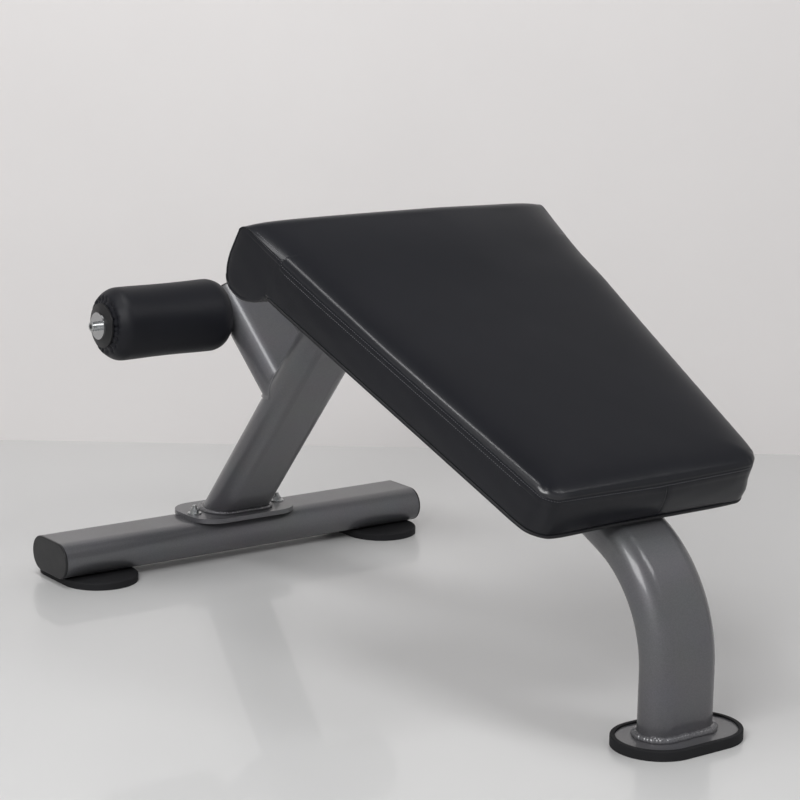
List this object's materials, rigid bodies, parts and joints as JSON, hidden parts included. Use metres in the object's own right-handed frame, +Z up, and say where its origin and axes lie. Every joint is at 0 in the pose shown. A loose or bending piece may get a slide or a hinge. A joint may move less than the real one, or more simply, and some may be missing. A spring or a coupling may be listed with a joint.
{
  "type": "sit-up bench",
  "caption": "Free-standing sit-up bench with a sloping padded board, a knee roll and foam ankle rollers on a flat-oval steel frame.",
  "frame": {"origin": "on the floor, under the middle of the bench's overall length and width", "axes": "+Z up; +X from the rear stabilizer towards the front leg, where the user's head lies; +Y to the user's right when lying back"},
  "size_m": [1.322, 0.73, 0.6539],
  "materials": {
    "frame_paint": "satin silver-grey metallic powder coat with a clear top coat",
    "zinc": "bright zinc plate",
    "polished_zinc": "polished, turned face",
    "bare_steel": "bright drawn steel, oiled",
    "black_rubber": "matt moulded rubber",
    "black_plastic": "fine moulded texture",
    "black_vinyl": "soft satin upholstery vinyl with a fine grain",
    "foam": "closed-cell foam",
    "plywood": "bare birch plywood",
    "backing": "matt black moulded sheet"
  },
  "bodies": {
    "frame": {"stabilizer_tube": "frame_paint", "base_flange_plate": "frame_paint", "upright_tube": "frame_paint", "beam_tube": "frame_paint", "front_leg_tube": "frame_paint", "front_foot_plate": "frame_paint", "rear_arm_tube": "frame_paint", "pad_brackets": "frame_paint", "base_bolts": "zinc", "base_nuts": "zinc", "base_washers": "zinc", "rear_foot_screws": "zinc", "end_screws": "zinc", "pad_bolts": "zinc", "pad_washers": "zinc", "pad_t_nuts": "zinc", "thrust_washers": "zinc", "end_washers": "polished_zinc", "axle_cross_tube": "bare_steel", "roller_axle": "bare_steel", "rear_foot_pad_left": "black_rubber", "rear_foot_pad_right": "black_rubber", "front_foot_boot": "black_rubber", "stabilizer_cap_left": "black_plastic", "stabilizer_cap_right": "black_plastic", "rear_arm_cap": "black_plastic", "pad_cover": "black_vinyl", "pad_foam": "foam", "pad_board": "plywood", "pad_base_cover": "backing"},
    "roller_left": {"roller_sleeve_left": "bare_steel", "roller_foam_left": "foam", "roller_cover_left": "black_vinyl", "roller_inner_cup_left": "black_plastic", "roller_outer_cup_left": "black_plastic"},
    "roller_right": {"roller_sleeve_right": "bare_steel", "roller_foam_right": "foam", "roller_cover_right": "black_vinyl", "roller_inner_cup_right": "black_plastic", "roller_outer_cup_right": "black_plastic"}
  },
  "joints": [
    {"name": "roller_left_spin", "type": "hinge", "parent": "frame", "child": "roller_left", "pos_m": [-0.49958, -0.18, 0.43953], "axis": [0, 1, 0], "continuous": true},
    {"name": "roller_right_spin", "type": "hinge", "parent": "frame", "child": "roller_right", "pos_m": [-0.49958, 0.18, 0.43953], "axis": [0, 1, 0], "continuous": true}
  ]
}
